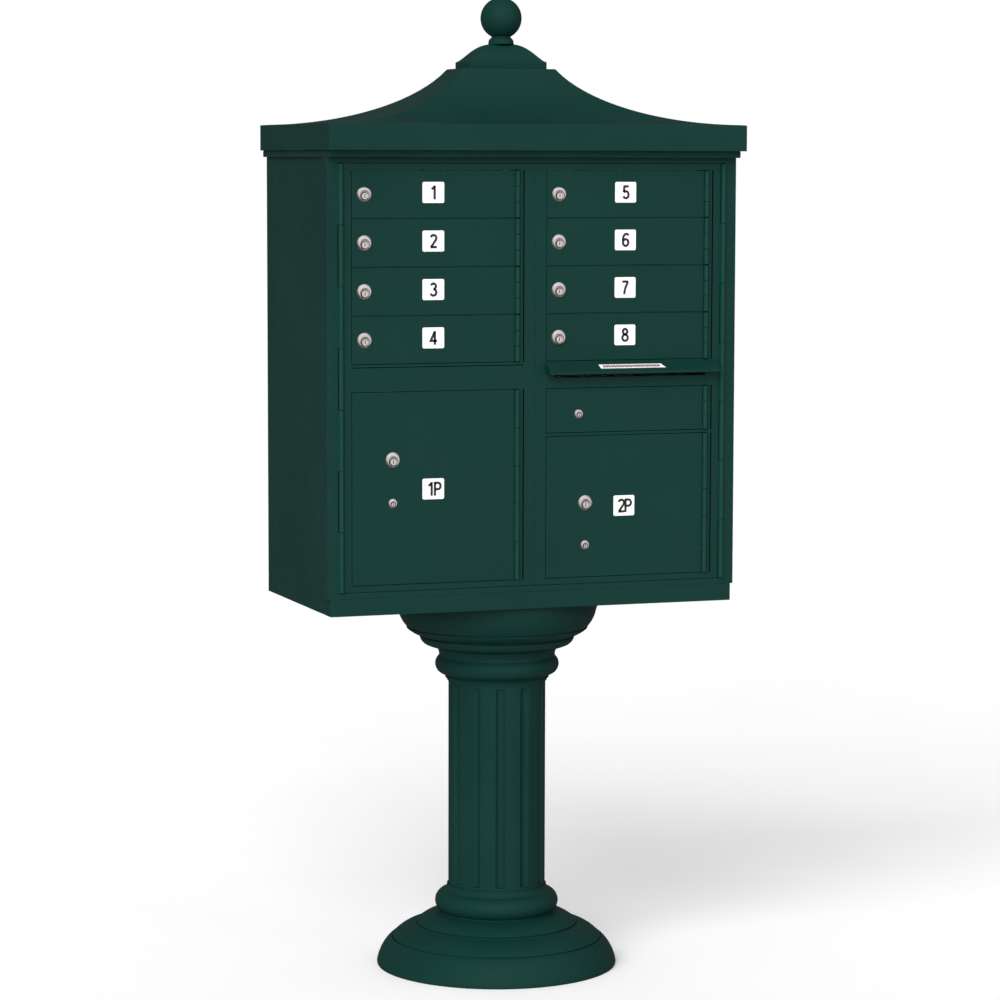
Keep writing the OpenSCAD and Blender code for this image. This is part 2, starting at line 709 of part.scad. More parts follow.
pedestal_post();
pedestal_bolts();
cover_base();
cover_shaft();
cover_capital();
base_tray();
side_panel(-1);  // side_panel_left
side_panel(1);  // side_panel_right
back_panel();
front_frame();
cabinet_top();
rack_left();
rack_right();
roof_canopy();
roof_cap();
finial();
roof_fasteners();
master_hinge_pins();
master_latch();
master_door_left();
master_door_right();
hinge_pins_left();
hinge_pins_right();
outgoing_band();
outgoing_hood();
small_door(outgoing_cell, [outgoing_lock]);  // outgoing_door
lock_shell(outgoing_lock);
lock_cam(outgoing_lock);  // outgoing_cam
for (i = [1:8]) {
    small_door(letter_cell(i), [letter_lock(i)]);
    lock_shell(letter_lock(i));
    lock_cam(letter_lock(i));
}
for (p = [1:2]) {
    cell = parcel_cells[p - 1];
    locks = parcel_locks(p - 1);
    small_door(cell, locks);
    for (lock = locks) lock_shell(lock);
    lock_cam(locks[0]);
    lock_cam(locks[1]);
}
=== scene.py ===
"""The looks of the cluster mailbox unit: sheet-metal pieces with real folds and rounded
edges, turned and cast pieces, locks, number plates, and a procedural material for each.

Lengths inside the builders are millimetres in the part's own frame, and piece() turns
them into metres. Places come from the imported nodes' boxes. A column is 0 for the left
doors and 1 for the right ones, and a lock's size is 0 for large and 1 for small.
"""

import json
import math

import bmesh
import bpy
from mathutils import Matrix, Vector

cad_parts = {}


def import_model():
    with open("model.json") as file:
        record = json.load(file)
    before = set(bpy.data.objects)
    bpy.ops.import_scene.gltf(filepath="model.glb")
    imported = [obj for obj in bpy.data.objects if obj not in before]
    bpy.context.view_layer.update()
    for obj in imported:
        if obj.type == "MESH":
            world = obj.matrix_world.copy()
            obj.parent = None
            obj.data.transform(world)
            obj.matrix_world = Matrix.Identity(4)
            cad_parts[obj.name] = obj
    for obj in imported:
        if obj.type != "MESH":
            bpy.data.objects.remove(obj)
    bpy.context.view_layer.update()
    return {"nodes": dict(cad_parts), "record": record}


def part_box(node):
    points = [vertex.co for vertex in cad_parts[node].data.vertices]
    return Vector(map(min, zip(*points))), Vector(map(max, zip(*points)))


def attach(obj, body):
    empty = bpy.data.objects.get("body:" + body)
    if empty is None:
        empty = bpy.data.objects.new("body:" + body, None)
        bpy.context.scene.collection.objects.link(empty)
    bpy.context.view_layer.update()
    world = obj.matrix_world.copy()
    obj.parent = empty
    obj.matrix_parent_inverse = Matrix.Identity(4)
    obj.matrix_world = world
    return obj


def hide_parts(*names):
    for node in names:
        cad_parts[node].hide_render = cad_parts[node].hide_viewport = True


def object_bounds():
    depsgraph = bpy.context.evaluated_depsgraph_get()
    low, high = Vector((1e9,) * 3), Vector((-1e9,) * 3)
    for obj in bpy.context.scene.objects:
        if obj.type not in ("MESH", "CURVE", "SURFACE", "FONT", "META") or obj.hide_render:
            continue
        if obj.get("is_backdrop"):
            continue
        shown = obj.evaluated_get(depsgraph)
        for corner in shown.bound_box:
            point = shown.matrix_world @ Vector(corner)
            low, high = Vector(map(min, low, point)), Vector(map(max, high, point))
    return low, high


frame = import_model()

# Metres in a millimetre
MM = 0.001
BODY_OF = {node: body for body, nodes in frame["record"]["behaviour"]["bodies"].items()
           for node in nodes}
LETTERS = range(1, 9)

# Sheet thicknesses, and the radii of pans' corners, folds and cut edges
SHEET = 2.5
WALL = 3.0
FOLD = 0.96
BEND = 0.8
EDGE = 0.5
# How far one sheet runs into the next, so that no gap shows
OVERLAP = 0.3


def box(node):
    """A CAD node's lowest and highest corners, in millimetres."""
    low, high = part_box(node)
    return low / MM, high / MM


def plan(low, high):
    """The centre of a box seen from above, and its half width and half depth."""
    return (((low.x + high.x) / 2, (low.y + high.y) / 2),
            ((high.x - low.x) / 2, (high.y - low.y) / 2))


# ---- Node materials ----


def node(tree, kind, inputs=(), **settings):
    """Adds a shader node. inputs maps a socket's name or number to a value or an output."""
    made = tree.nodes.new(kind)
    for name, value in settings.items():
        setattr(made, name, value)
    for name, value in dict(inputs).items():
        if isinstance(value, bpy.types.NodeSocket):
            tree.links.new(value, made.inputs[name])
        else:
            made.inputs[name].default_value = value
    return made


def noise(tree, scale, detail=3.0, roughness=0.5, stretch=(1, 1, 1)):
    """Noise on the piece's own coordinates: scale is in features a metre."""
    place = node(tree, "ShaderNodeTexCoord").outputs["Object"]
    mapped = node(tree, "ShaderNodeMapping", {"Vector": place, "Scale": stretch})
    made = node(tree, "ShaderNodeTexNoise", {
        "Vector": mapped.outputs[0], "Scale": scale, "Detail": detail, "Roughness": roughness})
    return made.outputs[0]


def spread(tree, value, low, high, from_low=0.3, from_high=0.7):
    """Maps value's middle range onto low to high."""
    made = node(tree, "ShaderNodeMapRange", {
        "Value": value, "From Min": from_low, "From Max": from_high,
        "To Min": low, "To Max": high})
    return made.outputs[0]


def blend(tree, share, first, second):
    """Mixes two colours by share."""
    made = node(tree, "ShaderNodeMix", data_type="RGBA")
    for socket, value in ((0, share), (6, first), (7, second)):
        if isinstance(value, bpy.types.NodeSocket):
            tree.links.new(value, made.inputs[socket])
        else:
            made.inputs[socket].default_value = value
    return made.outputs[2]


def times(tree, first, second):
    """The product of two values."""
    return node(tree, "ShaderNodeMath", {0: first, 1: second}, operation="MULTIPLY").outputs[0]


def edge_mask(tree, radius):
    """1 on the piece's corners and 0 on its flats."""
    rounded = node(tree, "ShaderNodeBevel", {"Radius": radius}, samples=4).outputs[0]
    flat = node(tree, "ShaderNodeNewGeometry").outputs["Normal"]
    along = node(tree, "ShaderNodeVectorMath", {0: rounded, 1: flat}, operation="DOT_PRODUCT")
    return spread(tree, along.outputs["Value"], 1.0, 0.0, 0.80, 0.99)


def bump(tree, height, distance, strength=1.0, below=None):
    """A bump of the given depth in metres, over the bump below."""
    inputs = {"Height": height, "Distance": distance, "Strength": strength}
    if below is not None:
        inputs["Normal"] = below
    return node(tree, "ShaderNodeBump", inputs).outputs[0]


def material(name, constants, build):
    """A node material: constants go on the shader's own sockets, and build links the rest."""
    made = bpy.data.materials.new(name)
    made.use_nodes = True
    tree = made.node_tree
    shader = tree.nodes["Principled BSDF"]
    for socket, value in constants.items():
        shader.inputs[socket].default_value = value
    for socket, output in build(tree).items():
        tree.links.new(output, shader.inputs[socket])
    return made


def colour(red, green, blue):
    """An opaque colour, in linear light."""
    return (red, green, blue, 1.0)


def powder_coat(tree):
    """Dark green powder coat: slow shade changes, an orange-peel skin, and paler edges: a painted
    highlight, with thin paint there too.
    """
    shade = blend(tree, spread(tree, noise(tree, 3.5, 4), 0, 1),
                  colour(0.0030, 0.0262, 0.0212), colour(0.0036, 0.0297, 0.0242))
    fleck = spread(tree, noise(tree, 900, 2), 0, 0.35, 0.58, 0.75)
    shade = blend(tree, fleck, shade, colour(0.0038, 0.0360, 0.0290))
    # painted highlight: thin blends the corners toward a paler green as if they catch light, and also
    # stands for thin paint there
    thin = times(tree, edge_mask(tree, 0.0012), spread(tree, noise(tree, 60, 4), 0.35, 1.0))
    shade = blend(tree, thin, shade, colour(0.0070, 0.0540, 0.0400))
    handled = spread(tree, noise(tree, 11, 5, 0.6), 0.44, 0.56)
    peel = bump(tree, noise(tree, 420, 2), 0.00012)
    return {"Base Color": shade, "Roughness": handled,
            "Normal": bump(tree, noise(tree, 2200, 1), 0.00002, below=peel)}


def rubbed_coat(tree):
    """The same paint on hinge barrels, paler green nearly all over as a painted highlight, a little
    unevenly.
    """
    made = powder_coat(tree)
    # painted highlight: the barrels are blended toward a paler green, as if lit
    barrel_highlight = spread(tree, noise(tree, 40, 4), 0.75, 1.0)
    made["Base Color"] = blend(tree, barrel_highlight, made["Base Color"], colour(0.0034, 0.0390, 0.0285))
    return made


def cast_coat(tree):
    """The same paint on castings, over a slightly uneven skin."""
    made = powder_coat(tree)
    made["Normal"] = bump(tree, noise(tree, 70, 3), 0.0003, below=made["Normal"])
    return made


def brushed(name, dark, light, grain, rough):
    """Metal with smears in its gloss and a painted highlight on its edges. Its grain runs along
    the axis where grain is small."""
    def build(tree):
        lines = noise(tree, 900, 3, 0.6, grain)
        shade = blend(tree, spread(tree, lines, 0, 1), dark, light)
        shade = blend(tree, spread(tree, noise(tree, 9, 4), 0, 0.35), shade, dark)
        # painted highlight: the edges are blended toward the light tone, as if they catch light
        shade = blend(tree, times(tree, edge_mask(tree, 0.0010), 0.6), shade, light)
        gloss = spread(tree, noise(tree, 14, 5, 0.65), rough * 0.8, rough * 1.25)
        return {"Base Color": shade, "Roughness": gloss, "Normal": bump(tree, lines, 0.00003)}

    return material(name, {"Metallic": 1.0}, build)


def galvanised(tree):
    """Hot-dip zinc with its crystal spangle."""
    place = node(tree, "ShaderNodeTexCoord").outputs["Object"]
    cells = node(tree, "ShaderNodeTexVoronoi", {"Vector": place, "Scale": 75.0})
    share = node(tree, "ShaderNodeSeparateColor", {0: cells.outputs["Color"]}).outputs[0]
    shade = blend(tree, share, colour(0.34, 0.36, 0.38), colour(0.56, 0.58, 0.60))
    return {"Base Color": shade, "Roughness": spread(tree, share, 0.35, 0.52, 0, 1),
            "Normal": bump(tree, noise(tree, 300, 3), 0.00006)}


def plate_plastic(tree):
    """White engraved-plastic plate, a little darker on its rim."""
    shade = blend(tree, spread(tree, noise(tree, 130, 5), 0, 0.5),
                  colour(0.80, 0.79, 0.79), colour(0.74, 0.73, 0.72))
    # the rim is blended toward grey
    rim_darkening = times(tree, edge_mask(tree, 0.0008), 0.25)
    return {"Base Color": blend(tree, rim_darkening, shade, colour(0.55, 0.55, 0.52)),
            "Roughness": spread(tree, noise(tree, 60, 4), 0.34, 0.46),
            "Normal": bump(tree, noise(tree, 1500, 2), 0.00002)}


def printed(name, dark, light, scale, dull):
    """Ink that is paler where it is thin."""
    def build(tree):
        return {"Base Color": blend(tree, spread(tree, noise(tree, scale, 4), 0, 1), dark, light),
                "Roughness": spread(tree, noise(tree, 300, 3), dull, dull + 0.15),
                "Normal": bump(tree, noise(tree, 1800, 2), 0.00002)}

    return material(name, {"Specular IOR Level": 0.4}, build)


def pale_floor(tree):
    """A smooth, almost white studio floor."""
    return {"Base Color": blend(tree, spread(tree, noise(tree, 1.3, 5), 0, 1),
                                colour(0.93, 0.93, 0.93), colour(0.95, 0.95, 0.95)),
            "Roughness": spread(tree, noise(tree, 4, 4), 0.75, 0.9),
            "Normal": bump(tree, noise(tree, 90, 4), 0.0002)}


PAINT = material("green_powder_coat", {"Specular IOR Level": 0.12}, powder_coat)
# The hinge barrels' coat carries a painted highlight: paler green than the rest of the paint.
HIGHLIT_BEAD = material("green_coat_painted_highlight_on_hinges", {"Specular IOR Level": 0.2}, rubbed_coat)
CAST = material("green_cast_coat", {"Specular IOR Level": 0.12}, cast_coat)
NICKEL = brushed("satin_nickel", colour(0.60, 0.55, 0.54), colour(0.86, 0.81, 0.80),
                 (1, 1, 1), 0.26)
ALUMINIUM = brushed("mill_aluminium", colour(0.50, 0.51, 0.52), colour(0.64, 0.65, 0.66),
                    (1, 0.03, 1), 0.36)
ZINC = brushed("zinc_plate", colour(0.40, 0.40, 0.39), colour(0.60, 0.60, 0.62),
               (1, 1, 0.1), 0.33)
# Near-black pin steel: painted shade, for pins that sit shaded inside the knuckles
SHADED_PIN = brushed("pin_steel_painted_shade", colour(0.05, 0.05, 0.05), colour(0.12, 0.12, 0.12),
              (1, 1, 0.1), 0.45)
GALVANISED = material("galvanised_steel", {"Metallic": 1.0}, galvanised)
PLATE = material("plate_plastic", {"Specular IOR Level": 0.5}, plate_plastic)
INK = printed("black_ink", colour(0.008, 0.008, 0.009), colour(0.020, 0.020, 0.021), 500, 0.40)
LABEL_INK = printed("label_ink", colour(0.10, 0.035, 0.035), colour(0.20, 0.09, 0.09), 400, 0.45)
FLOOR = material("pale_floor", {"Specular IOR Level": 0.2}, pale_floor)


# ---- Mesh builders ----


def joined(*parts):
    """One bmesh that holds every part's shells."""
    whole = bmesh.new()
    for part in parts:
        mesh = bpy.data.meshes.new("part")
        part.to_mesh(mesh)
        part.free()
        whole.from_mesh(mesh)
        bpy.data.meshes.remove(mesh)
    return whole


def rounded(part, radius, where=lambda middle: True, angle=40):
    """Rounds the edges that turn by more than angle and whose middle passes where."""
    bmesh.ops.recalc_face_normals(part, faces=part.faces)
    edges = [e for e in part.edges if len(e.link_faces) == 2
             and e.calc_face_angle() > math.radians(angle)
             and where((e.verts[0].co + e.verts[1].co) / 2)]
    bmesh.ops.bevel(part, geom=edges, offset=radius, segments=2, profile=0.5,
                    affect="EDGES", clamp_overlap=True)
    return part


def shift_new(part, made, by):
    """Moves the corners that an extrusion made."""
    corners = [g for g in made["geom"] if isinstance(g, bmesh.types.BMVert)]
    bmesh.ops.translate(part, verts=corners, vec=by)


def slab(axis, us, vs, keep, span):
    """A plate made of grid cells: the cells of us by vs where keep is true, and as thick as
    span along axis. The plane's directions are the other two axes, in x, y, z order."""
    put = {"x": lambda u, v: (span[0], u, v), "y": lambda u, v: (u, span[0], v),
           "z": lambda u, v: (u, v, span[0])}[axis]
    us, vs = sorted(set(us)), sorted(set(vs))
    part = bmesh.new()
    corners = {}

    def corner(i, j):
        if (i, j) not in corners:
            corners[i, j] = part.verts.new(put(us[i], vs[j]))
        return corners[i, j]

    for i in range(len(us) - 1):
        for j in range(len(vs) - 1):
            if keep((us[i] + us[i + 1]) / 2, (vs[j] + vs[j + 1]) / 2):
                part.faces.new([corner(i, j), corner(i + 1, j),
                                corner(i + 1, j + 1), corner(i, j + 1)])
    made = bmesh.ops.extrude_face_region(part, geom=part.faces[:], use_keep_orig=True)
    shift_new(part, made, Vector([(span[1] - span[0]) * (axis == name) for name in "xyz"]))
    bmesh.ops.recalc_face_normals(part, faces=part.faces)
    return part


def block(low, high):
    """A closed box between two corners."""
    return slab("y", (low[0], high[0]), (low[2], high[2]), lambda u, v: True,
                (low[1], high[1]))


def outside(*holes):
    """A keep rule for slab: true outside every hole. A hole is ((u0, u1), (v0, v1))."""
    return lambda u, v: not any(a[0] < u < a[1] and b[0] < v < b[1] for a, b in holes)


def pan(low, high, open_to, wall):
    """A box with a pocket in the side that open_to points at, walls and floor wall thick."""
    part = block(low, high)
    away = Vector(open_to)
    mouth = max(part.faces, key=lambda f: f.normal.dot(away))
    bmesh.ops.inset_individual(part, faces=[mouth], thickness=wall)
    depth = abs((Vector(high) - Vector(low)).dot(away)) - wall
    made = bmesh.ops.extrude_face_region(part, geom=[mouth])
    shift_new(part, made, -away * depth)
    if mouth.is_valid:
        bmesh.ops.delete(part, geom=[mouth], context="FACES_ONLY")
    return part


def arc(a, b, sag, steps=8):
    """Points on a bulging arc from a to b that stands out to the right of a-b by sag."""
    a, b = Vector(a), Vector(b)
    along = b - a
    length = along.length
    out = Vector((along.y, -along.x)) / length
    radius = (length ** 2 / 4 + sag ** 2) / (2 * abs(sag))
    half = math.asin(length / 2 / radius)
    side = 1 if sag > 0 else -1
    centre = (a + b) / 2 + out * (sag - side * radius)
    turns = [-half + 2 * half * k / steps for k in range(steps + 1)]
    return [tuple(centre + side * radius * math.cos(t) * out
                  + radius * math.sin(t) * along / length) for t in turns]


def bow(x, z, width, height, start, stop, steps=12):
    """Points on an ellipse from one angle to another, in degrees."""
    turns = [math.radians(start + (stop - start) * k / steps) for k in range(steps + 1)]
    return [(x + width * math.cos(t), z + height * math.sin(t)) for t in turns]


def lathe(outline, steps=96, closed=True):
    """Turns (radius, height) points about Z. A closed outline joins its last point to its
    first, and an open one starts and ends on the axis or is capped there."""
    part = bmesh.new()
    rings = []
    for radius, height in outline:
        if radius < 1e-6:
            rings.append([part.verts.new((0, 0, height))])
            continue
        rings.append([part.verts.new((radius * math.cos(math.tau * k / steps),
                                      radius * math.sin(math.tau * k / steps), height))
                      for k in range(steps)])
    pairs = list(zip(rings, rings[1:]))
    if closed:
        pairs.append((rings[-1], rings[0]))
    for one, two in pairs:
        for k in range(steps):
            corners = [one[k % len(one)], one[(k + 1) % len(one)],
                       two[(k + 1) % len(two)], two[k % len(two)]]
            corners = list(dict.fromkeys(corners))
            if len(corners) > 2:
                part.faces.new(corners)
    bmesh.ops.recalc_face_normals(part, faces=part.faces)
    return part


def turned(part, centre, tilt=0):
    """Turns a part about X by tilt degrees, so that 90 points its +Z along -Y, and moves it."""
    bmesh.ops.rotate(part, verts=part.verts, matrix=Matrix.Rotation(math.radians(tilt), 3, "X"))
    bmesh.ops.translate(part, verts=part.verts, vec=Vector(centre))
    return part


def rod(radius, low, high, chamfer=0.4, steps=32, bore=0):
    """The outline of a rod or a tube along Z with chamfered ends, turned."""
    ends = [(radius - chamfer, low), (radius, low + chamfer),
            (radius, high - chamfer), (radius - chamfer, high)]
    if bore:
        return lathe([(bore, low), *ends, (bore, high)], steps)
    return lathe([(0, low), *ends, (0, high)], steps, closed=False)


def loft(rings, looped=False):
    """Joins rings of the same number of points. The ends are capped, or joined if looped."""
    part = bmesh.new()
    made = [[part.verts.new(point) for point in ring] for ring in rings]
    count = len(made[0])
    for one, two in zip(made, made[1:] + made[:1] * looped):
        for k in range(count):
            part.faces.new([one[k], one[(k + 1) % count], two[(k + 1) % count], two[k]])
    if not looped:
        part.faces.new(made[0])
        part.faces.new(made[-1])
    bmesh.ops.recalc_face_normals(part, faces=part.faces)
    return part


def rectangle(centre, half, height, radius, steps=3):
    """A rectangle with round corners, as one ring of a loft."""
    points = []
    for quarter, (sx, sy) in enumerate(((1, 1), (-1, 1), (-1, -1), (1, -1))):
        cx = centre[0] + sx * (half[0] - radius)
        cy = centre[1] + sy * (half[1] - radius)
        for k in range(steps + 1):
            turn = math.radians(90 * (quarter + k / steps))
            points.append((cx + radius * math.cos(turn), cy + radius * math.sin(turn), height))
    return points


def prism(section, x0, x1):
    """A section of (y, z) points extruded along X."""
    return loft([[(x, y, z) for y, z in section] for x in (x0, x1)])


def stroke(points, width, y0, y1, closed=False):
    """A line of (x, z) points drawn width wide, from y0 to y1."""
    points = [Vector(p) for p in points]
    count = len(points)
    rings = []
    for k, here in enumerate(points):
        before = points[(k - 1) % count] if closed or k else None
        after = points[(k + 1) % count] if closed or k < count - 1 else None
        ways = [(b - a).normalized() for a, b in ((before, here), (here, after))
                if a is not None and b is not None]
        way = sum(ways, Vector((0, 0))).normalized()
        reach = width / 2 / max(0.5, way.dot(ways[0]))
        side = Vector((-way.y, way.x)) * reach
        one, two = here + side, here - side
        rings.append([(one.x, y0, one.y), (two.x, y0, two.y), (two.x, y1, two.y),
                      (one.x, y1, one.y)])
    return loft(rings, closed)


def piece(name, part, look, on, replaces=(), crease=32):
    """Turns a bmesh in millimetres into a piece that rides with the CAD node on. Edges
    that turn by crease or more stay sharp."""
    bmesh.ops.scale(part, vec=(MM, MM, MM), verts=part.verts)
    bmesh.ops.remove_doubles(part, verts=part.verts, dist=1e-6)
    for face in part.faces:
        face.smooth = True
    for edge in part.edges:
        if len(edge.link_faces) == 2:
            edge.smooth = edge.calc_face_angle() < math.radians(crease)
    mesh = bpy.data.meshes.new(name)
    part.to_mesh(mesh)
    part.free()
    made = bpy.data.objects.new(name, mesh)
    bpy.context.scene.collection.objects.link(made)
    mesh.materials.append(look)
    made.modifiers.new("flat_sides", "WEIGHTED_NORMAL").keep_sharp = True
    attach(made, BODY_OF[on])
    if replaces:
        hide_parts(*replaces)


def stand_for(cad, part, look, crease=32, covered=()):
    """A finished piece in the place of a CAD node and any others that it covers."""
    piece(cad + "_skin", part, look, cad, [cad, *covered], crease)


# ---- Roof ----

FASCIA = 47
HEM = 24
EAVE = 2.0
CORNER = 2.0
# How far the slope's upper edge stands out past the cap, in x and in y
LEDGE = (14, 8)
# The slope's curve is an arc with this radius for a run of 1, scaled to rise by 1
ARC_RADIUS = 1.08
ARC_SCALE = 1.607


def slope(share):
    """Height of the concave roof, as a share of its rise, a share of the way in."""
    return ARC_SCALE * (1 - math.sqrt(1 - (share / ARC_RADIUS) ** 2))


def canopy():
    """The roof as one folded shell: its inside, the hem, the fascia and the slope."""
    low, high = box("roof_canopy")
    lip_top = box("cabinet_top")[1].z
    centre, half = plan(low, high)
    ledge = [size + more for size, more in zip(plan(*box("roof_cap"))[1], LEDGE)]
    fascia_top = lip_top + FASCIA
    rise = high.z - fascia_top
    steps = 28

    def ring(inset, height):
        return rectangle(centre, (half[0] - inset, half[1] - inset), height, CORNER)

    def slope_ring(k, drop):
        share = k / steps
        size = [h + (e - h) * share - drop for h, e in zip(half, ledge)]
        return rectangle(centre, size, fascia_top + rise * slope(share) - drop, CORNER)

    inner = [slope_ring(k, WALL) for k in range(steps, -1, -1)]
    hem = [ring(WALL, lip_top + WALL), ring(HEM, lip_top + WALL), ring(HEM, lip_top),
           ring(EDGE, lip_top), ring(0, lip_top + EDGE)]
    eave = [ring(0, fascia_top - EAVE), ring(EAVE * 0.3, fascia_top - EAVE * 0.3)]
    outer = [slope_ring(k, 0) for k in range(1, steps + 1)]
    return loft(inner + hem + eave + outer)


def cap():
    """The casting on the roof: a rim, open below, and a bell-shaped rise to its small top."""
    low, high = box("roof_cap")
    centre, half = plan(low, high)
    rim = 13
    top = (20, 11)
    lining = 4
    steps = 20
    rise = high.z - low.z - rim

    def ring(size, height):
        return rectangle(centre, size, height, 1.5)

    def inset(by):
        return [h - by for h in half]

    rings = [ring(inset(lining), low.z + rim - WALL), ring(inset(lining), low.z),
             ring(inset(EDGE), low.z), ring(half, low.z + EDGE),
             ring(half, low.z + rim - 1), ring(inset(1), low.z + rim)]
    for k in range(1, steps + 1):
        t = k / steps
        width = 0.55 * t + 0.45 * t * t
        climb = 0.25 * t + 0.75 * (1 - math.cos(math.pi * t)) / 2
        rings.append(ring([h - 1 + (e - h + 1) * width for h, e in zip(half, top)],
                          low.z + rim + rise * climb))
    return loft(rings)


def ball():
    """The finial: a collar, a waisted neck and the ball."""
    low, high = box("finial")
    centre = plan(low, high)[0]
    foot = box("roof_cap")[1].z
    radius, neck, collar = 37.5, 17.4, 23.5
    middle = high.z - radius
    start = math.acos(neck / radius)
    turn = [-start + (math.pi / 2 + start) * k / 40 for k in range(40)]
    outline = [(0, foot), (collar - EDGE, foot), (collar, foot + EDGE), (collar, foot + 1.5)]
    outline += arc((collar - 0.5, foot + 2), (neck, foot + 12), 1.8, 8)
    outline += [(radius * math.cos(a), middle + radius * math.sin(a)) for a in turn]
    outline += [(0, high.z)]
    return turned(lathe(outline, 96, closed=False), (*centre, 0))


stand_for("roof_canopy", canopy(), PAINT)
stand_for("roof_cap", cap(), PAINT)
stand_for("finial", ball(), CAST)


# ---- Pedestal ----

SHAFT = 90.0
COVER = 4


def groove(radius, height):
    """The small channel that parts two mouldings."""
    return [(radius, height), (radius - 1, height - 0.4), (radius - 3, height - 1.9),
            (radius - 3.2, height), (radius - 2.8, height + 1)]


def cover_shell(outline, inner_low, inner_high):
    """A turned cover: its outer outline, then its inside back down to the start."""
    bore = SHAFT - 10
    inside = [(max(r - COVER - 2.5, bore), min(max(z, inner_low), inner_high))
              for r, z in outline]
    return lathe(outline + inside[::-1], 160)


def foot_cover():
    """The spreading foot's cover: three steps, a torus and a fillet below the shaft."""
    top = box("cover_base")[1].z
    outline = [(222.4, 0)] + arc((223.2, 4), (199.5, 48.5), 4.2, 18) + groove(196.5, 50.5)
    outline += arc((194, 52.5), (153, 75.5), 3.7, 12) + groove(151, 77)
    outline += arc((149, 79), (112, 97.2), 3.2, 10)
    outline += [(108, 98.4), (106, 98.8), (105.3, 99.8), (105.8, 101)]
    outline += arc((106.8, 101.5), (97.3, 139.5), 12.3, 22)
    outline += arc((95.8, 141.5), (SHAFT + 2.5, 148.5), -0.8, 5)
    outline += [(SHAFT + 2.5, top - 0.6), (SHAFT + 1.9, top)]
    return cover_shell(outline, 0, top - COVER)


def head_cover():
    """The capital's cover, with heights measured down from its top."""
    low, high = box("cover_capital")
    outline = [(SHAFT + 1.9, -157), (SHAFT + 2.5, -156.4), (SHAFT + 3.4, -152.2),
               (96, -151), (96.4, -149.8), (94.8, -148.6), (95.6, -147.2), (98.5, -145.8)]
    outline += arc((100.7, -144.3), (108, -111.4), 10.2, 22)
    outline += arc((107.6, -110), (111.5, -97), -1.4, 7)
    outline += [(111.2, -95.2), (112.6, -94.4), (121.6, -92.3)]
    outline += arc((130, -89.6), (143.5, -75), 2.8, 8)
    outline += [(142.6, -74), (140.6, -73.4), (140.4, -71.8), (142.6, -71.6)]
    outline += arc((147, -70.5), (167.5, -58.5), 1.2, 6)
    outline += [(168, -57.2), (165.4, -56.8), (165.2, -55.2), (167.6, -55)]
    outline += arc((168.8, -54.2), (184.5, -21), 2.7, 12)
    outline += [(184.2, -20), (185.6, -19), (186, -18), (186, -0.6), (185.4, 0)]
    outline = [(r, high.z + z) for r, z in outline]
    return cover_shell(outline, low.z + COVER, high.z)


def fluted_shaft(flutes=12, cutter=11.0, reach=5.6, end=5.0):
    """A shaft with flutes that a round cutter leaves, its axis reach outside the surface.

    A ring's points follow each flute's arris, so that the flutes have clean ends."""
    low, high = box("cover_shaft")
    axis = SHAFT + reach
    land_steps = 4
    groove_steps = 14

    def ring(height, size):
        half = math.acos(min(1.0, (SHAFT ** 2 + axis ** 2 - size ** 2) / (2 * SHAFT * axis)))
        points = []
        for flute in range(flutes):
            middle = math.tau * (flute + 0.5) / flutes - math.pi / 2
            for k in range(groove_steps):
                off = -half + 2 * half * k / groove_steps
                depth = max(0.0, size ** 2 - (axis * math.sin(off)) ** 2)
                radius = axis * math.cos(off) - math.sqrt(depth) if k else SHAFT
                points.append((middle + off, min(radius, SHAFT)))
            gap = math.tau / flutes - 2 * half
            points += [(middle + half + gap * k / land_steps, SHAFT) for k in range(land_steps)]
        return [(r * math.cos(a), r * math.sin(a), height) for a, r in points]

    plain = reach + 0.4
    return loft([ring(low.z, plain), ring(low.z + end, plain), ring(low.z + end + 1, cutter),
                 ring(high.z - end - 1, cutter), ring(high.z - end, plain), ring(high.z, plain)])


stand_for("cover_base", foot_cover(), CAST, crease=28)
stand_for("cover_capital", head_cover(), CAST, crease=28)
stand_for("cover_shaft", fluted_shaft(), CAST, crease=24)


# ---- Cabinet ----

FRONT = box("base_tray")[0].y
RETURN = 18


def tray():
    """The floor pan."""
    low, high = box("base_tray")
    return rounded(pan(low, high, (0, 0, 1), WALL), FOLD)


def side_panel(name, side):
    """One folded sheet: the side itself and the return behind the front frame."""
    low, high = box(name)
    outer = low.x if side < 0 else high.x
    sheet = sorted((outer, outer - side * SHEET))
    fold = sorted((outer, outer - side * RETURN))
    section = slab("z", sheet + fold, (low.y, low.y + SHEET, high.y),
                   lambda u, v: sheet[0] < u < sheet[1] or v < low.y + SHEET, (low.z, high.z))
    return rounded(section, 0.9)


def back_panel():
    """The plain sheet that closes the cabinet's back."""
    low, high = box("back_panel")
    return rounded(block(low, high), BEND)


def door_frame():
    """Jambs, sill and header of folded channel, with the mullion and the latch's stud."""
    low, high = box("front_frame")
    jamb, sill, header = 20, 10.5, 10
    hole = ((low.x + jamb, high.x - jamb), (low.z + sill, high.z - header))
    face = slab("y", (low.x, high.x, *hole[0]), (low.z, high.z, *hole[1]), outside(hole),
                (FRONT, FRONT + WALL))
    rim = ((low.x + WALL, high.x - WALL), (low.z + WALL, high.z - WALL))
    outer = slab("y", (low.x, high.x, *rim[0]), (low.z, high.z, *rim[1]), outside(rim),
                 (FRONT + WALL - OVERLAP, high.y))
    lining = [(start - WALL, stop + WALL) for start, stop in hole]
    inner = slab("y", (*lining[0], *hole[0]), (*lining[1], *hole[1]), outside(hole),
                 (FRONT + WALL - OVERLAP, high.y))
    half = 7
    mullion_y = FRONT + 20.8
    mullion = block((-half, mullion_y, hole[1][0] - 1), (half, mullion_y + WALL, hole[1][1] + 1))
    return joined(rounded(face, BEND), rounded(outer, EDGE), rounded(inner, EDGE),
                  rounded(mullion, EDGE), latch_stud(mullion_y))


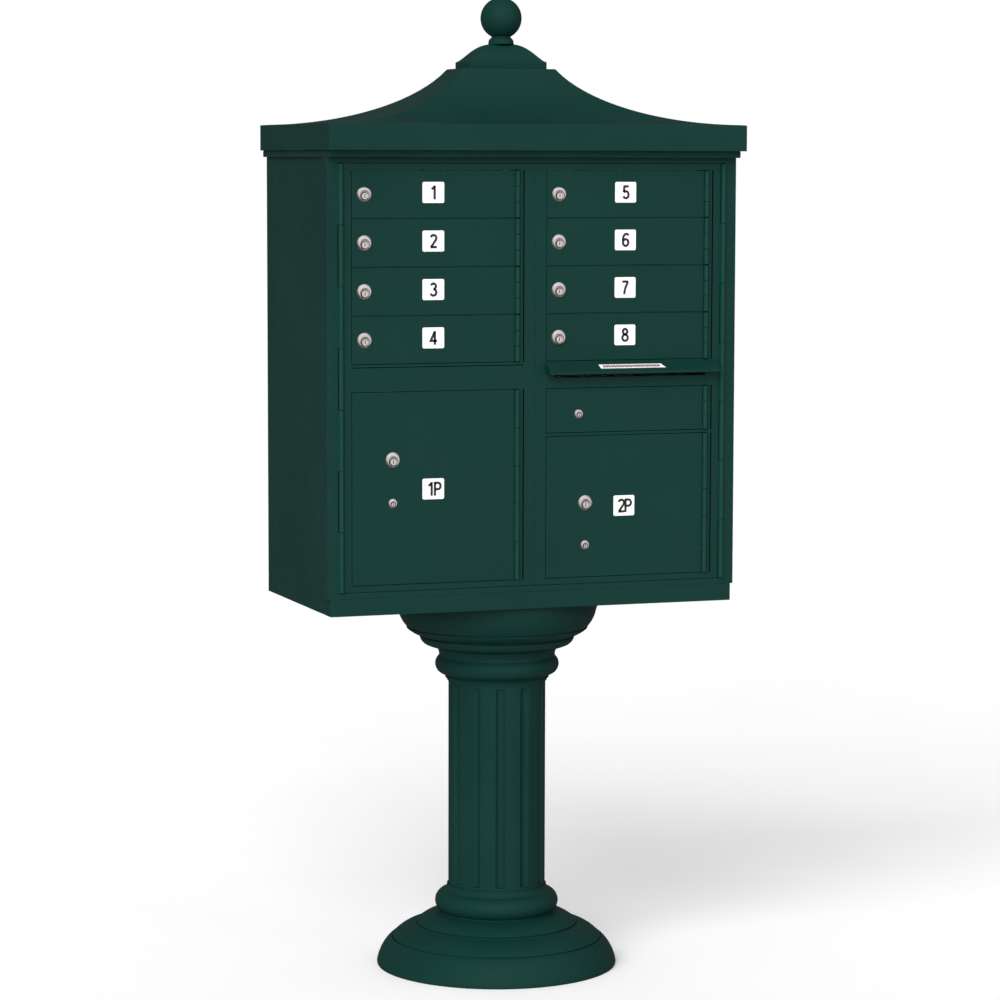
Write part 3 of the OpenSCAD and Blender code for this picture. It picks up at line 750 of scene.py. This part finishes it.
def latch_stud(root_y):
    """The headed stud that the master latch turns on, from root_y back."""
    low, high = box("master_latch")
    length = high.y - root_y
    stud = joined(rod(4, 0, length + 0.5), rod(6, length + 0.3, length + 2))
    return turned(stud, (0, root_y, (low.z + high.z) / 2), -90)


# ---- Hinges ----

HINGE_Y = FRONT - 1
LEAF = 2.5
MASTER_PIN = 2.5
# How far a knuckle's outside and the plate beside it are from its pin's line
SMALL_BARREL = 4.5
SMALL_EDGE = 4.9
MASTER_BARREL = 4.7
MASTER_EDGE = 5.25


def barrel(x, low, high, radius, bore, side, reach):
    """A knuckle, and the leaf strip that joins it to the plate on one side."""
    tube = turned(rod(radius, low, high, 0.5, bore=bore), (x, HINGE_Y, 0))
    ends = sorted((x + side * (bore + 0.5), x + side * reach))
    leaf = block((ends[0], FRONT, low), (ends[1], FRONT + LEAF, high))
    return [tube, rounded(leaf, 0.3)]


def knuckle_spans(low, high, count, first):
    """The heights of every second knuckle of a hinge, from the first one on."""
    pitch = (high - low) / count
    return [(low + k * pitch + 0.3, low + (k + 1) * pitch - 0.3)
            for k in range(first, count, 2)]


def master_knuckles(side, first):
    """A master hinge's fixed knuckles (first 0) or the door's own (first 1)."""
    low, high = box("master_hinge_pins")
    x = side * (high.x - MASTER_PIN)
    way = side if first == 0 else -side
    parts = []
    for z0, z1 in knuckle_spans(low.z - 0.5, high.z + 0.5, 7, first):
        parts += barrel(x, z0, z1, MASTER_BARREL, MASTER_PIN + 0.05, way, MASTER_EDGE + 1)
    return parts


def pin_x(column):
    """The line of a column's small door pins."""
    low, high = box(("hinge_pins_left", "hinge_pins_right")[column])
    return (low.x + high.x) / 2


def small_knuckles(door, column, first):
    """A small door's knuckles: the master door's (first 0) or its own (first 1)."""
    low, high = box(door)
    count = 5 if door.startswith("parcel") else 3
    way = 1 if first == 0 else -1
    parts = []
    for z0, z1 in knuckle_spans(low.z, high.z, count, first):
        parts += barrel(pin_x(column), z0, z1, SMALL_BARREL, 2.05, way, SMALL_EDGE + 1)
    return parts


stand_for("base_tray", tray(), PAINT)
for name, side in (("side_panel_left", -1), ("side_panel_right", 1)):
    stand_for(name, side_panel(name, side), PAINT)
stand_for("back_panel", back_panel(), PAINT)
stand_for("front_frame", door_frame(), PAINT)
piece("front_frame_knuckles", joined(*master_knuckles(-1, 0), *master_knuckles(1, 0)), HIGHLIT_BEAD,
      "front_frame")


def top_lip():
    """The shallow box that closes the cabinet's top, open inside the roof's hem."""
    low, high = box("cabinet_top")
    shell = ((low.x + WALL, high.x - WALL), (low.y + WALL, high.y - WALL))
    hole = ((low.x + HEM, high.x - HEM), (low.y + HEM, high.y - HEM))
    lid = slab("z", (low.x, high.x, *hole[0]), (low.y, high.y, *hole[1]), outside(hole),
               (high.z - WALL, high.z))
    wall = slab("z", (low.x, high.x, *shell[0]), (low.y, high.y, *shell[1]), outside(shell),
                (low.z + WALL - OVERLAP, high.z - WALL + OVERLAP))
    bottom = block(low, (high.x, high.y, low.z + WALL))
    return joined(rounded(lid, BEND), wall, rounded(bottom, BEND))


stand_for("cabinet_top", top_lip(), PAINT)


# ---- Doors ----

SMALL_DOORS = [[f"letter_door_{i}" for i in LETTERS[:4]] + ["parcel_door_1"],
               [f"letter_door_{i}" for i in LETTERS[4:]] + ["parcel_door_2", "outgoing_door"]]
GAP = 1.0
SEAM = 0.75
FLANGE = FRONT + 20
SCORE = 2.5
# By lock size: radii, and how far the plug's centre is below the bezel's
BEZEL = (14.0, 8.7)
THREAD = (10.2, 6.6)
PLUG = (6.0, 3.4)
PLUG_DROP = (3.2, 1.6)


def lock_places(name):
    """The (x, z) centre and the size of each lock in a CAD node."""
    low, high = box(name)
    x = (low.x + high.x) / 2
    if name == "outgoing_lock":
        return [((x, (low.z + high.z) / 2), 1)]
    if name.startswith("parcel"):
        return [((x, high.z - BEZEL[0]), 0), ((x, box("carrier_cam" + name[-2:])[0].z + 6.6), 1)]
    return [((x, (low.z + high.z) / 2), 0)]


def door_openings(column):
    """The master door's openings behind its small doors, as ((x0, x1), (z0, z1))."""
    left = box(SMALL_DOORS[column][0])[0].x - GAP
    right = pin_x(column) + SMALL_EDGE
    letters = [box(name) for name in SMALL_DOORS[column][:4]]
    rows = [(min(b[0].z for b in letters) - GAP, max(b[1].z for b in letters) + GAP)]
    rows += [(box(name)[0].z - GAP, box(name)[1].z + GAP) for name in SMALL_DOORS[column][4:]]
    return [((left, right), row) for row in rows]


def scored_lines(column, holes):
    """Shallow lines in a master door's face: where each small hinge's leaf ends and, on the
    left door, the edge under the letter doors."""
    leaf = pin_x(column) + 13.5
    lines = [((leaf - SCORE, leaf), z) for x, z in holes]
    if not column:
        x, z = holes[0]
        lines.append(((x[0], leaf), (z[0] - 6, z[0] - 4.6)))
    return lines


def master_face(column, x, z, holes):
    """A master door's plate with its openings, and the backing of its scored lines. The
    right one is also open under the hood, where the outgoing slot is."""
    scored = scored_lines(column, holes)
    cuts = [*holes, *scored]
    if column:
        hood_z = box("outgoing_hood")[0].z
        cuts.append(((x[0] + 35, x[0] + 328), (hood_z - 7, hood_z + 18.5)))
    plate = slab("y", [*x] + [u for h in cuts for u in h[0]], [*z] + [v for h in cuts for v in h[1]],
                 outside(*cuts), (FRONT, FRONT + WALL))
    backs = [block((a[0] - 0.5, FRONT + WALL + 4, b[0] - 0.5), (a[1] + 0.5, FRONT + WALL + 5, b[1] + 0.5))
             for a, b in scored]
    return [rounded(plate, EDGE), *backs]


def opening_flanges(holes):
    """The folded-in edges around a master door's openings."""
    parts = []
    for hole in holes:
        ring = [(a - WALL, b + WALL) for a, b in hole]
        parts.append(rounded(slab("y", (*hole[0], *ring[0]), (*hole[1], *ring[1]), outside(hole),
                                  (FRONT + WALL - 0.5, FLANGE)), EDGE))
    return parts


def letter_rails(column, x0, x1):
    """A bar behind each gap between letter doors, and the web that shows in the gap."""
    parts = []
    for name in SMALL_DOORS[column][:3]:
        z = box(name)[0].z - GAP
        parts.append(rounded(block((x0, FLANGE - 9, z - 4), (x1, FLANGE - 1, z + 4)), BEND))
        parts.append(block((x0, FRONT + 1.2, z - 0.5), (x1, FLANGE - 8, z + 0.5)))
    return parts


def lock_tabs(column, x0):
    """The tabs that the cams of the parcel and outgoing doors turn behind."""
    parts = []
    for locks in (("parcel_locks_1",), ("parcel_locks_2", "outgoing_lock"))[column]:
        for centre, size in lock_places(locks):
            half, reach = ((13, 23), (11, 12))[size]
            z = centre[1] - PLUG_DROP[size]
            tab = block((x0, FLANGE - WALL, z - half), (centre[0] - reach, FLANGE, z + half))
            parts.append(rounded(tab, BEND))
    return parts


def master_door(column):
    """A master door of folded sheet, with its rails, its keeper and the locks' tabs."""
    side = (-1, 1)[column]
    pins = box("master_hinge_pins")
    hinge_edge = side * (abs(pins[column].x) - MASTER_PIN - MASTER_EDGE)
    x = sorted((hinge_edge, side * SEAM))
    z = (pins[0].z - 0.5, pins[1].z + 0.5)
    holes = door_openings(column)
    left, right = holes[0][0]
    parts = master_face(column, x, z, holes)
    inside = ((x[0] + WALL, x[1] - WALL), (z[0] + WALL, z[1] - WALL))
    parts.append(rounded(slab("y", (*x, *inside[0]), (*z, *inside[1]), outside(inside),
                              (FRONT + WALL - OVERLAP, FLANGE)), EDGE))
    parts += opening_flanges(holes) + letter_rails(column, left - 1, right + 1)
    if not column:
        parts.append(block((-SEAM - 1.5, FRONT + 0.5, z[0] + 2), (SEAM - 0.4, FRONT + 2.6, z[1] - 2)))
    return joined(*parts, *keeper(side), *lock_tabs(column, left - 1))


def door_knuckles(column):
    """The knuckles on a master door: its own, and the fixed ones of its small doors."""
    parts = master_knuckles((-1, 1)[column], 1)
    for door in SMALL_DOORS[column]:
        parts += small_knuckles(door, column, 0)
    return joined(*parts)


def keeper(side):
    """The hook on a master door that the latch turns in front of: root, leg and tip."""
    low, high = box("master_latch")
    middle = (low.z + high.z) / 2
    half = 10
    outer = 20.75
    head = high.y + 1.8

    def bar(x0, y0, y1):
        ends = sorted((side * x0, side * outer))
        return rounded(block((ends[0], y0, middle - half), (ends[1], y1, middle + half)), EDGE)

    return [bar(1.75, FRONT + 2.5, FLANGE), bar(18.2, FLANGE - 1, head + WALL),
            bar(11, head, head + WALL)]


def small_door(name, column):
    """A door pan with folded edges, and its hinge edge cut square beside the knuckles."""
    low, high = box(name)
    depth = 9
    right = pin_x(column) - SMALL_EDGE
    body = rounded(pan((low.x, FRONT, low.z), (right, FRONT + depth, high.z), (0, 1, 0), SHEET),
                   FOLD, lambda middle: middle.x < right - 0.1)
    return rounded(body, 0.25, lambda middle: middle.x > right - 0.1)


for column, door in enumerate(("master_door_left", "master_door_right")):
    stand_for(door, master_door(column), PAINT, covered=((), ["outgoing_band"])[column])
    piece(door + "_knuckles", door_knuckles(column), HIGHLIT_BEAD, door)
    for name in SMALL_DOORS[column]:
        stand_for(name, small_door(name, column), PAINT)
        piece(name + "_knuckles", joined(*small_knuckles(name, column, 1)), HIGHLIT_BEAD, name)


# ---- Locks ----

NUT_SIDES = 6


def lock_shell(centre, size):
    """A lock's bezel and threaded body, with the plug's off-centre bore, and its nut."""
    steps = 40
    scale = (1.0, 0.62)[size]
    bore = PLUG[size] + 0.05
    body = THREAD[size]
    rim = BEZEL[size]
    drop = PLUG_DROP[size]
    back = FRONT + 22
    face = FRONT - 3.2 * (1.0, 0.7)[size]

    def ring(radius, y, down=0.0):
        return [(centre[0] + radius * math.cos(math.tau * k / steps), y,
                 centre[1] - down + radius * math.sin(math.tau * k / steps)) for k in range(steps)]

    bezel = [ring(body, FRONT + 2.4), ring(body, FRONT + 0.4), ring(rim, FRONT + 0.2),
             ring(rim, FRONT - 0.9 * scale), ring(rim - 0.5 * scale, FRONT - 1.5 * scale),
             ring(rim - 2.6 * scale, face + 0.2), ring(rim - 3.2 * scale, face)]
    dish = [ring(bore + 3.1 * scale, face, drop * 0.6),
            ring(bore + 2.4 * scale, face + 1.8, drop * 0.8),
            ring(bore + 1.1 * scale, face + 2.3, drop), ring(bore, face + 4.2, drop),
            ring(bore, back, drop)]
    threads = [ring(body, back)]
    y = back
    while y > FRONT + 9:
        y -= 1.0
        threads += [ring(body - 0.35, y), ring(body, y - 0.4)]
        y -= 0.4
    nut = rod(body + 3.8, 0, 5, 0.6, NUT_SIDES, body - 0.1)
    return [loft(bezel + dish + threads, looped=True),
            turned(nut, (centre[0], FRONT + 7.5, centre[1]), 90)]


def plug_and_blade(name, size):
    """The turning plug with its keyway, and the cam blade that its end carries."""
    low, high = box(name)
    half = (7, 5)[size]
    radius = PLUG[size]
    x, z = (low.x + high.x) / 2, low.z + half
    face, blade_y = low.y, FRONT + 23
    steps = 36
    disc = [(radius * math.cos(math.tau * k / steps), radius * math.sin(math.tau * k / steps))
            for k in range(steps)]
    key = (0.6, radius * 0.62)
    slot = []
    for u, v in disc:
        share = min(key[0] / max(abs(u), 1e-9), key[1] / max(abs(v), 1e-9))
        slot.append((u * share, v * share))

    def at(points, y, share=1.0):
        return [(x + u * share, y, z + v * share) for u, v in points]

    plug = loft([at(slot, face + 5), at(slot, face + 0.15), at(slot, face, 1.08),
                 at(disc, face, 0.94), at(disc, face + 0.4), at(disc, blade_y + 0.5)])
    tip = high.z - z - half
    section = bow(0, tip, half, half, 0, 180, 16) + bow(0, 0, half, half, 180, 360, 16)
    blade = rounded(loft([at(section, blade_y), at(section, blade_y + 2.5)]), 0.4, angle=50)
    nut = turned(rod(half * 0.6, 0, 1.6, 0.3, NUT_SIDES), (x, blade_y + 4.0, z), 90)
    return plug, joined(blade, nut)


LARGE_CAMS = [f"letter_cam_{i}" for i in LETTERS] + ["customer_cam_1", "customer_cam_2"]
SMALL_CAMS = ["carrier_cam_1", "carrier_cam_2", "outgoing_cam"]
LOCKS = [f"letter_lock_{i}" for i in LETTERS] + ["parcel_locks_1", "parcel_locks_2",
                                                 "outgoing_lock"]
for name in LARGE_CAMS + SMALL_CAMS:
    plug, blade = plug_and_blade(name, int(name in SMALL_CAMS))
    stand_for(name, plug, NICKEL)
    piece(name + "_blade", blade, ZINC, name)
for name in LOCKS:
    shells = [part for centre, size in lock_places(name) for part in lock_shell(centre, size)]
    stand_for(name, joined(*shells), NICKEL)


# ---- Number plates and label ----

# Strokes of the characters, 1 unit high
STROKES = {
    "1": [[(0.13, 0.74), (0.26, 0.81), (0.36, 0.94)], [(0.37, 0.0), (0.37, 1.0)]],
    "2": [bow(0.29, 0.71, 0.21, 0.22, 165, -35, 14) + [(0.10, 0.07)], [(0.05, 0.065), (0.54, 0.065)]],
    "3": [bow(0.28, 0.735, 0.19, 0.195, 160, -90), bow(0.28, 0.295, 0.22, 0.23, 90, -160)],
    "4": [[(0.39, 0.0), (0.39, 1.0)], [(0.37, 0.93), (0.07, 0.29), (0.56, 0.29)]],
    "5": [[(0.51, 0.93), (0.17, 0.93), (0.12, 0.50)], bow(0.29, 0.32, 0.21, 0.255, 140, -155, 16)],
    "6": [bow(0.34, 0.52, 0.26, 0.42, 48, 190, 14), bow(0.29, 0.31, 0.21, 0.245, 0, 360, 20)],
    "7": [[(0.05, 0.93), (0.52, 0.93)], [(0.49, 0.90), (0.33, 0.58), (0.24, 0.28), (0.20, 0.0)]],
    "8": [bow(0.29, 0.745, 0.175, 0.19, 0, 360, 18), bow(0.29, 0.29, 0.215, 0.225, 0, 360, 20)],
    "P": [[(0.10, 0.0), (0.10, 1.0)],
          [(0.10, 0.93), (0.32, 0.93)] + bow(0.34, 0.70, 0.19, 0.23, 90, -90, 10) + [(0.10, 0.47)]]}


def flat_plate(centre, half, y0, y1, radius=3.0, chamfer=0.25):
    """A thin plate with round corners and chamfered edges, facing -Y."""
    rings = []
    for y, inset in ((y1, 0), (y0 + chamfer, 0), (y0, chamfer)):
        ring = rectangle(centre, (half[0] - inset, half[1] - inset), y, radius, 4)
        rings.append([(u, y, v) for u, v, y in ring])
    return loft(rings)


PLATE_X = 150
PLATE_HALF = (20.2, 18.5)
FIGURE = 24.5
LINE = FIGURE * 0.175


def number_plate(label, door, up):
    """A white plate with black characters, its middle up above the door's lower edge."""
    low = box(door)[0]
    x, z = low.x + PLATE_X, low.z + up
    piece(f"plate_{label}", flat_plate((x, z), PLATE_HALF, FRONT - 0.9, FRONT + 0.2), PLATE, door)
    advance = FIGURE * (0.60 if len(label) == 1 else 0.52)
    start = x - advance * len(label) / 2 + FIGURE * 0.02
    marks = []
    for k, mark in enumerate(label):
        for line in STROKES[mark]:
            points = [(start + k * advance + FIGURE * u, z + FIGURE * (v - 0.5)) for u, v in line]
            loop = math.dist(points[0], points[-1]) < 0.001
            marks.append(stroke(points[:-1] if loop else points, LINE, FRONT - 1.05, FRONT - 0.8,
                                loop))
    piece(f"figures_{label}", joined(*marks), INK, door)


for i in LETTERS:
    low, high = box(f"letter_door_{i}")
    number_plate(str(i), f"letter_door_{i}", (high.z - low.z) / 2 + 3)
number_plate("1P", "parcel_door_1", 168)
number_plate("2P", "parcel_door_2", 127)


HOOD_LIP = 4.0


def hood():
    """Folded hood over the outgoing slot: a slope with a turned-down lip, and two ends."""
    low, high = box("outgoing_hood")
    thick = 2.0
    out, back = low.y, FRONT + 0.2
    lip = low.z + HOOD_LIP
    sheet = [(back, high.z), (out + 0.5, lip + 0.3), (out, lip - 0.4), (out, low.z + 0.3),
             (out + 0.4, low.z), (out + thick, low.z), (out + thick, lip - 1),
             (back, high.z - thick * 1.2)]
    end = [(back, low.z), (back, high.z - 0.3), (out + 0.2, lip - 0.2), (out + 0.2, low.z)]
    return joined(rounded(prism(sheet, low.x, high.x), 0.3, angle=60),
                  prism(end, low.x, low.x + thick), prism(end, high.x - thick, high.x))


def hood_label():
    """A pale strip on the hood's slope with a row of chevrons that point to the slot."""
    low, high = box("outgoing_hood")
    out, back = low.y, FRONT
    lip = low.z + HOOD_LIP
    way = Vector((0, back - out, high.z - lip)).normalized()
    normal = Vector((0, -way.z, way.y))
    foot = Vector((0, out, lip))
    length = math.hypot(back - out, high.z - lip)

    def lay(part):
        """Turns a part drawn facing -Y, with Z up the slope, onto the slope."""
        for vert in part.verts:
            u, depth, v = vert.co
            vert.co = Vector((u, 0, 0)) + foot + way * v - normal * depth
        return part

    x0, x1 = 118.0, 245.0
    bottom = length * 0.30
    top = bottom + 11
    corners = ((x0 + 1.5, bottom), (x1, bottom), (x1 - 7, top), (x0, top))
    strip = lay(loft([[(u, y, v) for u, v in corners] for y in (0.2, -0.5)]))
    middle, reach, pitch = (bottom + top) / 2, 3.2, 5.25
    marks = []
    for k in range(21):
        x = x0 + 9 + k * pitch
        chevron = [(x - 2, middle + reach), (x + 1.8, middle), (x - 2, middle - reach)]
        marks.append(lay(stroke(chevron, 2.6, -0.65, -0.4)))
    return strip, joined(*marks)


stand_for("outgoing_hood", hood(), PAINT)
strip, chevrons = hood_label()
piece("hood_label", strip, PLATE, "outgoing_hood")
piece("hood_label_marks", chevrons, LABEL_INK, "outgoing_hood")


# ---- Racks ----


def rack(name, column):
    """Compartment walls, back and shelves of thin sheet, with rolled shelf fronts."""
    low, high = box(name)
    doors = SMALL_DOORS[column]
    heights = [box(door)[0].z - GAP for door in doors[:5]] + [box(doors[0])[1].z + GAP]
    heights.append(box(doors[5])[0].z - GAP - SHEET if column else box(doors[4])[1].z + GAP)
    heights.sort()
    parts = []
    for x in (low.x, high.x - SHEET):
        parts.append(rounded(block((x, low.y, low.z), (x + SHEET, high.y, high.z)), EDGE))
    parts.append(block((low.x + 0.5, high.y - SHEET, heights[0] - SHEET),
                       (high.x - 0.5, high.y, heights[-1] + SHEET)))
    front, back, half = low.y, high.y - 1, SHEET / 2
    for z in heights:
        shelf = [(back, z + half), (front + 0.8, z + half), (front, z + half - 0.8),
                 (front, z - 4), (front + 1.2, z - 4), (front + 1.2, z - half), (back, z - half)]
        parts.append(prism(shelf, low.x + 1, high.x - 1))
    return joined(*parts)


for column, name in enumerate(("rack_left", "rack_right")):
    stand_for(name, rack(name, column), ALUMINIUM)


# ---- CAD nodes ----

# Every CAD node gets its slot's look, but the hinge pins get near-black steel as painted shade. Pins,
# post, bolts, latch and fasteners show it.
LOOKS = {"green_paint": PAINT, "lock_metal": NICKEL, "bare_aluminium": ALUMINIUM,
         "zinc_steel": ZINC, "galvanised_steel": GALVANISED}
for row in frame["record"]["subparts"]:
    shown = frame["nodes"][row["node"]]
    shown.data.materials.clear()
    shown.data.materials.append(SHADED_PIN if "hinge_pins" in row["node"]
                                else LOOKS[row["material_slot"]])
    broken = shown.modifiers.new("broken_edges", "BEVEL")
    broken.width = 0.0004
    broken.segments = 2
    broken.limit_method = "ANGLE"
    broken.angle_limit = math.radians(35)


# ---- Stage ----


def floor():
    """A wide pale floor, its top at the object's foot."""
    part = slab("z", (-30, 30), (-30, 30), lambda u, v: True, (-0.1, 0))
    mesh = bpy.data.meshes.new("floor")
    part.to_mesh(mesh)
    part.free()
    made = bpy.data.objects.new("floor", mesh)
    mesh.materials.append(FLOOR)
    bpy.context.scene.collection.objects.link(made)
    made.visible_glossy = False
    made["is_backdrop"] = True


def world():
    """White studio light: even for the surfaces, brighter from the front in reflections."""
    made = bpy.data.worlds.new("studio")
    bpy.context.scene.world = made
    made.use_nodes = True
    tree = made.node_tree
    tree.nodes.clear()
    way = node(tree, "ShaderNodeTexCoord").outputs["Generated"]
    toward = node(tree, "ShaderNodeVectorMath", {0: way, 1: (0, -1, 0.6)}, operation="DOT_PRODUCT")
    soft = spread(tree, toward.outputs["Value"], 0.12, 1.15, 0.35, 1.1)
    path = node(tree, "ShaderNodeLightPath")

    def sky(strength):
        return node(tree, "ShaderNodeBackground",
                    {"Color": colour(1, 1, 1), "Strength": strength}).outputs[0]

    shown = sky(0.6)
    for ray, strength in (("Is Glossy Ray", soft), ("Is Camera Ray", 1.0)):
        shown = node(tree, "ShaderNodeMixShader",
                     {0: path.outputs[ray], 1: shown, 2: sky(strength)}).outputs[0]
    node(tree, "ShaderNodeOutputWorld", {"Surface": shown})


def sun(azimuth, elevation, strength, angle):
    """A wide, soft key light. Angles are in degrees."""
    data = bpy.data.lights.new("key", "SUN")
    data.energy = strength
    data.angle = math.radians(angle)
    made = bpy.data.objects.new("key", data)
    bpy.context.scene.collection.objects.link(made)
    made.rotation_euler = (math.radians(90 - elevation), 0, math.radians(azimuth))
    made.visible_glossy = False


def camera():
    """A long lens, from the left of the unit and a little above its middle."""
    place = (-2.11875, -5.93675, 1.4875)
    yaw, pitch, roll = 19.687, -5.618, 0.127
    data = bpy.data.cameras.new("camera")
    data.lens = 123.41
    data.sensor_width = 36
    made = bpy.data.objects.new("camera", data)
    turn = (Matrix.Rotation(math.radians(-yaw), 4, "Z")
            @ Matrix.Rotation(math.radians(90 + pitch), 4, "X")
            @ Matrix.Rotation(math.radians(roll), 4, "Z"))
    made.matrix_world = Matrix.Translation(place) @ turn
    bpy.context.scene.collection.objects.link(made)
    bpy.context.scene.camera = made


floor()
world()
sun(azimuth=-38, elevation=30, strength=3.35, angle=50)
camera()
bpy.context.scene.view_settings.view_transform = "Standard"

low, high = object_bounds()
